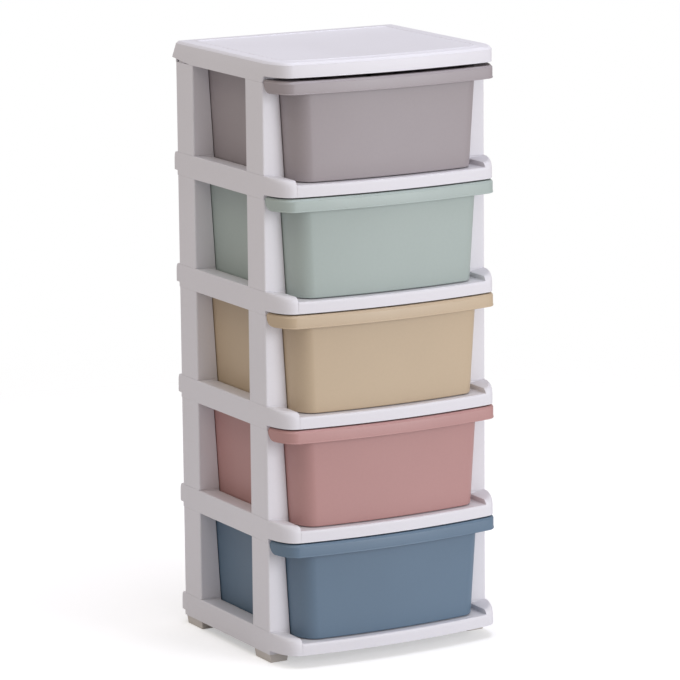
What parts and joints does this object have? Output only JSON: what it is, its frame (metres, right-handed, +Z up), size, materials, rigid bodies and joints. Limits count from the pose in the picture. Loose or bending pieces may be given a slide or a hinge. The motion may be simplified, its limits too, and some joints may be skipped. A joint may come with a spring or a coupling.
{
  "type": "plastic drawer tower",
  "caption": "Free-standing plastic drawer tower: bowed, tapered drawers with a handle lip slide out of a plug-together frame of boards and posts, for crafts and parts.",
  "frame": {"origin": "middle of the footprint, on the floor", "axes": "+Z up, the drawers pull out towards -Y, +X to the right of someone who faces the drawers"},
  "size_m": [0.35, 0.331, 0.843],
  "materials": {
    "frame_white": "white moulded polypropylene, satin",
    "foot_plastic": "off-white moulded plastic, matte",
    "drawer_slate_blue": "slate blue moulded polypropylene, satin",
    "drawer_dusty_pink": "dusty pink moulded polypropylene, satin",
    "drawer_sand": "sand moulded polypropylene, satin",
    "drawer_mint": "mint moulded polypropylene, satin",
    "drawer_taupe": "taupe moulded polypropylene, satin"
  },
  "bodies": {
    "frame": {"top_board": "frame_white", "shelf_board_4": "frame_white", "shelf_board_3": "frame_white", "shelf_board_2": "frame_white", "shelf_board_1": "frame_white", "base_board": "frame_white", "post_front_left_1": "frame_white", "post_front_right_1": "frame_white", "post_rear_left_1": "frame_white", "post_rear_right_1": "frame_white", "post_front_left_2": "frame_white", "post_front_right_2": "frame_white", "post_rear_left_2": "frame_white", "post_rear_right_2": "frame_white", "post_front_left_3": "frame_white", "post_front_right_3": "frame_white", "post_rear_left_3": "frame_white", "post_rear_right_3": "frame_white", "post_front_left_4": "frame_white", "post_front_right_4": "frame_white", "post_rear_left_4": "frame_white", "post_rear_right_4": "frame_white", "post_front_left_5": "frame_white", "post_front_right_5": "frame_white", "post_rear_left_5": "frame_white", "post_rear_right_5": "frame_white", "foot_front_left": "foot_plastic", "foot_front_right": "foot_plastic", "foot_rear_left": "foot_plastic", "foot_rear_right": "foot_plastic"},
    "drawer_1": {"drawer_1": "drawer_slate_blue"},
    "drawer_2": {"drawer_2": "drawer_dusty_pink"},
    "drawer_3": {"drawer_3": "drawer_sand"},
    "drawer_4": {"drawer_4": "drawer_mint"},
    "drawer_5": {"drawer_5": "drawer_taupe"}
  },
  "joints": [
    {"name": "drawer_1_slide", "type": "slide", "parent": "frame", "child": "drawer_1", "axis": [0, -1, 0], "range_m": [0, 0.2]},
    {"name": "drawer_2_slide", "type": "slide", "parent": "frame", "child": "drawer_2", "axis": [0, -1, 0], "range_m": [0, 0.2]},
    {"name": "drawer_3_slide", "type": "slide", "parent": "frame", "child": "drawer_3", "axis": [0, -1, 0], "range_m": [0, 0.2]},
    {"name": "drawer_4_slide", "type": "slide", "parent": "frame", "child": "drawer_4", "axis": [0, -1, 0], "range_m": [0, 0.2]},
    {"name": "drawer_5_slide", "type": "slide", "parent": "frame", "child": "drawer_5", "axis": [0, -1, 0], "range_m": [0, 0.2]}
  ]
}
